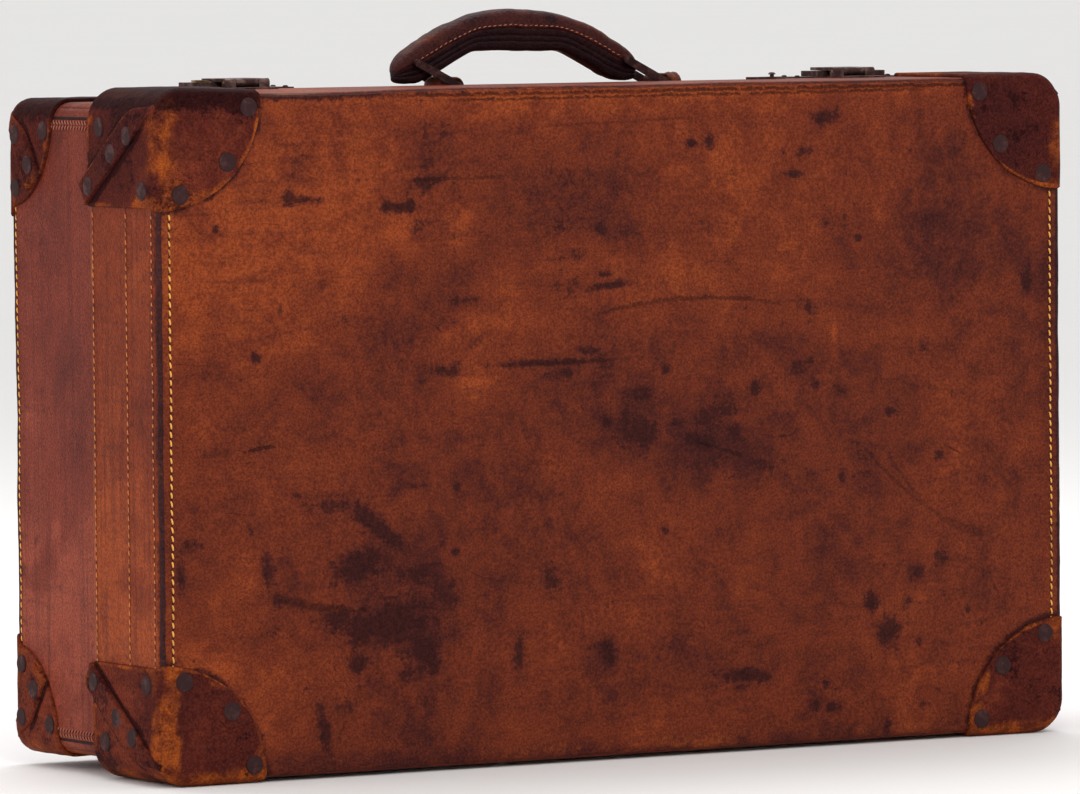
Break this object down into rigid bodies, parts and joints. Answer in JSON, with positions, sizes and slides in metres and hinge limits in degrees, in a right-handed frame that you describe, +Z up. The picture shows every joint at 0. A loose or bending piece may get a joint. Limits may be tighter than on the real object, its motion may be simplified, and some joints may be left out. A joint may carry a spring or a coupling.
{
  "type": "leather suitcase",
  "caption": "Old hard-sided leather suitcase with a hinged lid, riveted corner caps, a swinging carrying handle and a pair of hasp locks.",
  "frame": {"origin": "under the middle of the case, on the surface that it stands on", "axes": "+X along the case's length, +Z up to the handle, -Y out of the lid's big face"},
  "size_m": [0.687, 0.214, 0.4806],
  "materials": {
    "hide": "worn tan-brown cowhide with dark stains",
    "end_hide": "worn purple-brown cowhide",
    "cap_hide": "dark maroon-brown moulded cowhide, rubbed at the edges",
    "welt_hide": "dark piping",
    "handle_hide": "dark polished handle leather",
    "strap_hide": "plain brown strap leather",
    "fibre_board": "stiff fibre board",
    "lining_cloth": "plain woven cotton lining",
    "rivet_metal": "darkened domed heads",
    "old_brass": "tarnished brass",
    "old_steel": "dark oxidised steel"
  },
  "bodies": {
    "base": {"base_back_board": "fibre_board", "base_top_board": "fibre_board", "base_bottom_board": "fibre_board", "base_left_board": "fibre_board", "base_right_board": "fibre_board", "base_corner_boards": "fibre_board", "base_back_leather": "hide", "base_top_leather": "hide", "base_bottom_leather": "hide", "base_left_leather": "end_hide", "base_right_leather": "end_hide", "base_welt": "welt_hide", "base_lining": "lining_cloth", "base_cap_top_left": "cap_hide", "base_cap_top_right": "cap_hide", "base_cap_bottom_left": "cap_hide", "base_cap_bottom_right": "cap_hide", "base_cap_rivets": "rivet_metal", "packing_straps": "strap_hide", "strap_buckles": "old_brass", "base_hinge_leaves": "old_brass", "hinge_pins": "old_steel", "handle_chape_left": "handle_hide", "handle_chape_right": "handle_hide", "chape_rivets": "rivet_metal", "lock_packings": "handle_hide", "lock_plates": "old_steel", "lock_rivets": "rivet_metal", "lock_case_left": "old_steel", "lock_case_right": "old_steel"},
    "lid": {"lid_front_board": "fibre_board", "lid_top_board": "fibre_board", "lid_bottom_board": "fibre_board", "lid_left_board": "fibre_board", "lid_right_board": "fibre_board", "lid_corner_boards": "fibre_board", "lid_front_leather": "hide", "lid_top_leather": "hide", "lid_bottom_leather": "hide", "lid_left_leather": "hide", "lid_right_leather": "hide", "lid_welt": "welt_hide", "lid_lining": "lining_cloth", "lid_cap_top_left": "cap_hide", "lid_cap_top_right": "cap_hide", "lid_cap_bottom_left": "cap_hide", "lid_cap_bottom_right": "cap_hide", "lid_cap_rivets": "rivet_metal", "stud_plate": "old_steel", "lid_hinge_leaves": "old_brass", "hasp_brackets": "old_steel", "hasp_pins": "old_brass"},
    "ring_left": {"handle_ring_left": "old_steel"},
    "ring_right": {"handle_ring_right": "old_steel"},
    "handle": {"handle_core": "old_steel", "handle_grip": "handle_hide"},
    "hasp_left": {"hasp_left": "old_steel"},
    "hasp_right": {"hasp_right": "old_steel"},
    "button_left": {"lock_button_left": "old_brass"},
    "button_right": {"lock_button_right": "old_brass"}
  },
  "joints": [
    {"name": "lid_hinge", "type": "hinge", "parent": "base", "child": "lid", "pos_m": [0, -0.01035, 0.00575], "axis": [1, 0, 0], "range_deg": [0, 100]},
    {"name": "left_ring_swing", "type": "hinge", "parent": "base", "child": "ring_left", "pos_m": [-0.0675, -0.002, 0.4315], "axis": [0, 1, 0], "range_deg": [0, 126]},
    {"name": "handle_tilt", "type": "hinge", "parent": "ring_left", "child": "handle", "pos_m": [-0.09779, -0.002, 0.44694], "axis": [0, 1, 0], "range_deg": [-126, 0]},
    {"name": "right_ring_swing", "type": "hinge", "parent": "base", "child": "ring_right", "pos_m": [0.0895, -0.002, 0.4315], "axis": [0, 1, 0], "range_deg": [0, 126]},
    {"name": "left_hasp_hinge", "type": "hinge", "parent": "lid", "child": "hasp_left", "pos_m": [-0.229, -0.022, 0.4367], "axis": [1, 0, 0], "range_deg": [0, 100]},
    {"name": "right_hasp_hinge", "type": "hinge", "parent": "lid", "child": "hasp_right", "pos_m": [0.229, -0.022, 0.4367], "axis": [1, 0, 0], "range_deg": [0, 100]},
    {"name": "left_button_slide", "type": "slide", "parent": "base", "child": "button_left", "axis": [-1, 0, 0], "range_m": [0, 0.005], "stiffness_N_per_m": 200},
    {"name": "right_button_slide", "type": "slide", "parent": "base", "child": "button_right", "axis": [1, 0, 0], "range_m": [0, 0.005], "stiffness_N_per_m": 200}
  ],
  "couplings": [
    {"joint": "handle_tilt", "follows": "left_ring_swing", "ratio": -1},
    {"joint": "right_ring_swing", "follows": "left_ring_swing", "ratio": 1}
  ]
}
